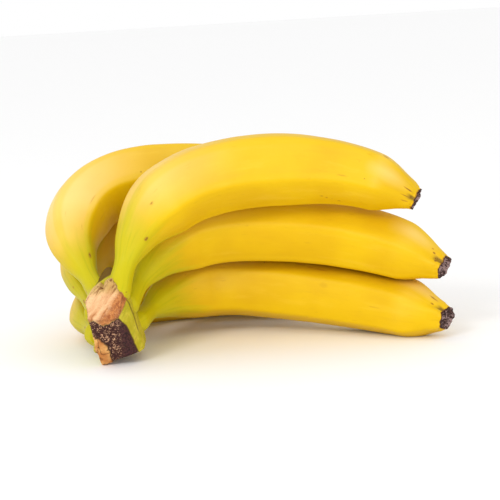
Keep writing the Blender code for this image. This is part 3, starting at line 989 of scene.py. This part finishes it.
def banana_skin():
    """Ripening colours, then the browns; satin, and rougher where it is dry."""
    material, shader, pen, place = new_material("banana_skin")
    mark = marks_of(pen, "along", "ridge", "dried", "lip", "bloom", "scars", "crease", "press", "husk")
    skin_place = pen.add("ShaderNodeAttribute", {"attribute_name": "unrolled"}, out="Vector")
    long_way = skin_place.add("ShaderNodeMapping", {}, {"Vector": skin_place, "Scale": (1.0, 1.0, 0.16)})
    grain, fine = speckle(place, 0.004, 3.0), speckle(place, 0.0008, 2.0)
    colour = handled(ripening(mark, place, long_way), mark, place, long_way, fine)
    colour = dried_end(colour, mark, fine)
    freckles = dots(place, 0.00625, 0.06, 0.11) * speckle(place, 0.015).step(0.56, 0.66)
    colour = colour.to(FRECKLE, freckles * 0.7)
    finish(pen, shader, colour, rough=0.42 + grain * 0.10 + mark.dried * 0.35, specular=0.18,
           bump=0.25, depth=0.0006, height=grain + speckle(place, 0.0015) * 0.3)
    return material


skin = banana_skin()
for piece in fingers.values():
    piece.data.materials.append(skin)
print("nodes in the skin:", len(skin.node_tree.nodes))

# %% [markdown]
# The crown shows four finishes side by side: the fresh pale cut, the old dark cut, the
# plate of bark and green skin. Each gets its own colour, and the marks choose between them.

# %% Fresh cut and green skin
STRIP, STRIP_LIGHT = srgb(178, 166, 26), srgb(200, 186, 52)
STRIP_STREAK, STRIP_DRY, STRIP_DOT = srgb(150, 150, 14), srgb(150, 112, 40), srgb(96, 70, 24)
PALE_LOW, PALE_HIGH, PALE_GROOVE = srgb(186, 124, 74), srgb(228, 182, 134), srgb(150, 96, 52)
ORANGE_LOW, ORANGE_HIGH = srgb(146, 76, 30), srgb(196, 124, 62)
PITH_DARK, PITH_LIGHT = srgb(150, 92, 50), srgb(240, 206, 160)
CREST, CREST_GROOVE, CUT_EDGE = srgb(188, 158, 84), srgb(120, 72, 34), srgb(110, 62, 34)


def green_strip(mark, place, clouds):
    """Yellow-green skin with streaks along the stem and a few dark dots."""
    colour = between(clouds.step(0.35, 0.65), STRIP, STRIP_LIGHT)
    colour = colour.to(STRIP_STREAK, mark.streaks.step(0.50, 0.72) * 0.40)
    colour = colour.to(STRIP_DRY, (1.0 - mark.streaks.step(0.22, 0.40)) * 0.35)
    return colour.to(STRIP_DOT, dots(place, 1.0 / 420.0, 0.10, 0.18) * clouds.step(0.50, 0.62) * 0.8)


def fresh_cut(mark, place, grain):
    """Pale fibres, orange where they tore, olive at the crest and brown along the edges."""
    pale = between((mark.streaks * 0.45 + mark.blotches * 0.55).step(0.22, 0.60), PALE_LOW, PALE_HIGH)
    pale = pale.to(PALE_GROOVE, (1.0 - mark.streaks.step(0.20, 0.42)) * 0.6)
    orange = between((mark.crumbs * 0.4 + grain * 0.6).step(0.38, 0.62), ORANGE_LOW, ORANGE_HIGH)
    pale = pale.to(orange, mark.torn * 0.9)
    pith = speckle(place, 0.0009, 4.0, 0.8)
    pale = pale.to(PITH_DARK, pith.step(0.52, 0.66) * (0.35 + mark.torn * 0.35))
    pale = pale.to(PITH_LIGHT, (1.0 - pith.step(0.30, 0.44)) * 0.45)
    pale = pale.to(CREST, mark.crest * (0.4 + mark.streaks * 0.5))
    pale = pale.to(CREST_GROOVE, mark.crest * (1.0 - mark.streaks.step(0.30, 0.46)) * 0.7)
    return pale.to(CUT_EDGE, mark.edges * grain.step(0.40, 0.56) * 0.75)


# %% [markdown]
# The old cut has dried to a dark, crumbly face with pale flecks of fibre on its rough
# side. The bark is tan with dark streaks. Cracks and creases are drawn over everything,
# and the web between the necks is darkened as painted shade.

# %% Old cut, bark and the whole crown
OLD_LOW, OLD_HIGH, OLD_COARSE = srgb(34, 14, 16), srgb(82, 46, 46), srgb(62, 30, 22)
FLECK = srgb(216, 168, 130)
TAN_LOW, TAN_HIGH, TAN_STREAK = srgb(188, 120, 60), srgb(224, 170, 100), srgb(96, 54, 26)
CRACK, FOLD, WEB_SHADE_BROWN = srgb(38, 20, 18), srgb(80, 48, 20), srgb(98, 70, 6)


def old_cut(mark, place, grain):
    """Dark purple-brown grain, browner where it is coarse, with pale flecks there."""
    dark = between(grain.step(0.35, 0.65), OLD_LOW, OLD_HIGH)
    dark = dark.to(OLD_COARSE, mark.coarse * 0.6)
    flecks = (mark.crumbs * 0.20 + speckle(place, 0.0007, 3.0, 0.6) * 0.80).step(0.53, 0.60)
    return dark.to(FLECK, mark.coarse * flecks * 0.80)


def crown_stem():
    """Green skin, then each finish where its mark is; dull all over."""
    material, shader, pen, place = new_material("crown_stem")
    mark = marks_of(pen, "fresh", "old", "bark", "torn", "coarse", "cracks", "streaks", "crumbs",
                    "blotches", "web_shade", "outline", "crest", "edges")
    grain, clouds = speckle(place, 0.0010, 4.0, 0.7), speckle(place, 0.0060)
    tan = between(clouds.step(0.35, 0.65), TAN_LOW, TAN_HIGH)
    tan = tan.to(TAN_STREAK, mark.streaks.step(0.58, 0.72) * 0.7)
    colour = green_strip(mark, place, clouds).to(fresh_cut(mark, place, grain), mark.fresh)
    colour = colour.to(old_cut(mark, place, grain), mark.old).to(tan, mark.bark)
    # Painted shade: the web between the necks is turned dark olive brown.
    colour = colour.to(CRACK, mark.cracks * 0.9).to(FOLD, mark.outline * 0.8).to(WEB_SHADE_BROWN, mark.web_shade)
    finish(pen, shader, colour, rough=0.55 + grain * 0.35, specular=0.25,
           bump=0.5, depth=0.0005, height=grain * (mark.fresh * 0.5 + mark.old + 0.1))
    return material


stem = crown_stem()
crown.data.materials.append(stem)
print("nodes in the crown's finish:", len(stem.node_tree.nodes))

# %% [markdown]
# ## Floor, light and camera
#
# A pale floor and a white surround keep the colours clean. The colours are meant to show
# as they are, so the view uses the plain Standard transform.

# %% Floor and surround
FLOOR_SIZE = 6.0
PALE = (0.95, 0.95, 0.95, 1.0)
half = FLOOR_SIZE / 2.0
floor_mesh = bpy.data.meshes.new("floor")
floor_mesh.from_pydata([(-half, -half, 0.0), (half, -half, 0.0), (half, half, 0.0), (-half, half, 0.0)],
                       [], [(0, 1, 2, 3)])
floor = bpy.data.objects.new("floor", floor_mesh)
bpy.context.scene.collection.objects.link(floor)
floor_finish = bpy.data.materials.new("pale_floor")
floor_finish.use_nodes = True
floor_shader = floor_finish.node_tree.nodes["Principled BSDF"]
floor_shader.inputs["Base Color"].default_value = PALE
floor_shader.inputs["Roughness"].default_value = 0.9
floor_mesh.materials.append(floor_finish)

scene = bpy.context.scene
scene.view_settings.view_transform = "Standard"
world = bpy.data.worlds.new("white_surround")
world.use_nodes = True
surround = world.node_tree.nodes["Background"]
surround.inputs["Color"].default_value = (1.0, 1.0, 1.0, 1.0)
surround.inputs["Strength"].default_value = 1.0
scene.world = world
print("floor in metres:", FLOOR_SIZE)

# %% [markdown]
# One broad lamp high on the left shapes the fruit. A wide, low lamp in front lights the
# undersides, which would else turn brown. Spotlights would give hard shadows, so both are
# square area lamps.

# %% Lamps
def lamp(name, place, aim, size, power, colour=(1.0, 1.0, 1.0)):
    """A square area lamp at a place, facing the aim."""
    data = bpy.data.lights.new(name, "AREA")
    data.shape = "SQUARE"
    data.size = size
    data.energy = power
    data.color = colour
    item = bpy.data.objects.new(name, data)
    item.location = place
    item.rotation_euler = (Vector(aim) - Vector(place)).to_track_quat("-Z", "Y").to_euler()
    bpy.context.scene.collection.objects.link(item)
    return item


BUNCH = (0.0, 0.0, 0.05)
key = lamp("key_lamp", (-0.62, -1.00, 0.85), BUNCH, 0.35, 5.0, (1.0, 0.98, 0.95))
fill = lamp("fill_lamp", (0.20, -1.40, 0.22), BUNCH, 0.50, 4.2)
print("lamps in watts:", round(key.data.energy, 1), round(fill.data.energy, 1))

# %% [markdown]
# The camera looks slightly down on the bunch from the front, from a metre away. It is
# turned a little about its own axis. The view is built from three directions at right
# angles: right, above, and back towards the camera.

# %% Camera
TARGET = Vector((0.00157, -0.05106, 0.05289))
DISTANCE = 1.0
AZIMUTH, ELEVATION, ROLL = math.radians(-0.635), math.radians(9.611), math.radians(-3.447)
look = Vector((math.cos(ELEVATION) * math.sin(AZIMUTH), math.cos(ELEVATION) * math.cos(AZIMUTH),
               -math.sin(ELEVATION)))
level = look.cross(Vector((0.0, 0.0, 1.0))).normalized()
upright = level.cross(look)
right = level * math.cos(ROLL) + upright * math.sin(ROLL)
above = right.cross(look)
camera_data = bpy.data.cameras.new("camera")
camera_data.lens = 144.0
camera_data.sensor_width = 36.0
camera_data.clip_start = 0.05
camera_data.clip_end = 50.0
camera = bpy.data.objects.new("camera", camera_data)
place = Matrix((right, above, -look)).transposed().to_4x4()
place.translation = TARGET - look * DISTANCE
camera.matrix_world = place
bpy.context.scene.collection.objects.link(camera)
bpy.context.scene.camera = camera
print("camera at", [round(v, 3) for v in place.translation])
